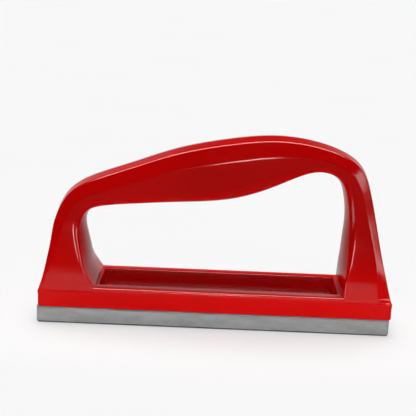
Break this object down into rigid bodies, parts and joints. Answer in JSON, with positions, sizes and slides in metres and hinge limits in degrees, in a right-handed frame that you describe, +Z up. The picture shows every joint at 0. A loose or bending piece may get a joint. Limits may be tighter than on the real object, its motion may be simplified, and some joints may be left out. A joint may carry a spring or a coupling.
{
  "type": "squeegee applicator",
  "caption": "Red loop-handled squeegee applicator with a two-half hollow handle and base frame, a sheet-steel sole plate and a replaceable grey pad held by hook-and-loop tape.",
  "frame": {"origin": "under the middle of the base, on the pad's working face", "axes": "+X along the base towards the higher end of the grip, +Y through the base's width towards the rear, +Z up"},
  "size_m": [0.2507, 0.058, 0.1365],
  "materials": {
    "red_plastic": "gloss",
    "red_paint": "satin",
    "screw_steel": "satin",
    "hook_tape": "matte",
    "loop_cloth": "matte",
    "pad_felt": "matte",
    "face_felt": "matte"
  },
  "bodies": {
    "pad": {"working_face": "face_felt", "pad_core": "pad_felt", "loop_backing": "loop_cloth"},
    "applicator": {"front_shell": "red_plastic", "rear_shell": "red_plastic", "shell_screws": "screw_steel", "sole_plate": "red_paint", "plate_screws": "screw_steel", "hook_strips": "hook_tape"}
  },
  "joints": [
    {"name": "pad_release", "type": "slide", "parent": "pad", "child": "applicator", "axis": [0, 0, 1], "range_m": [0, 0.03]}
  ]
}
